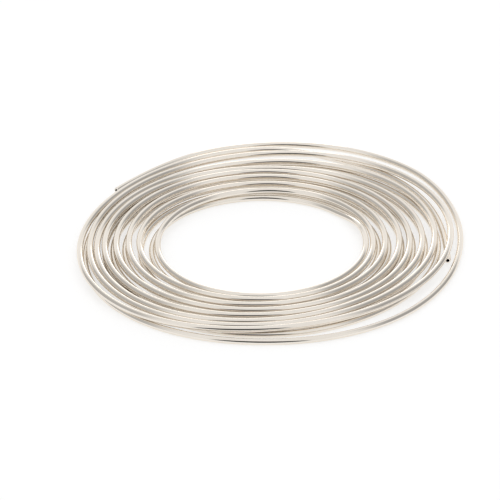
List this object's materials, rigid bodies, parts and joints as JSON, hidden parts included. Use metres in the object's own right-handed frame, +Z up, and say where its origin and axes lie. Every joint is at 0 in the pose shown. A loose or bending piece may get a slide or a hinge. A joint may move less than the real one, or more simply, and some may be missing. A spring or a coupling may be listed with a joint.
{
  "type": "aluminium tube coil",
  "caption": "Flat coil of soft small-bore aluminium tube, wound in two spiral layers round a wide open eye, with one loose outer turn.",
  "frame": {"origin": "middle of the eye, level with the floor that the coil lies on", "axes": "+Z up along the coil's axis, +X to the right, where one open end lies, and +Y to the back"},
  "size_m": [0.4084, 0.4084, 0.0127],
  "materials": {
    "tube": "bright drawn mill finish"
  },
  "bodies": {
    "root": {"coiled_tube": "tube"}
  },
  "joints": []
}
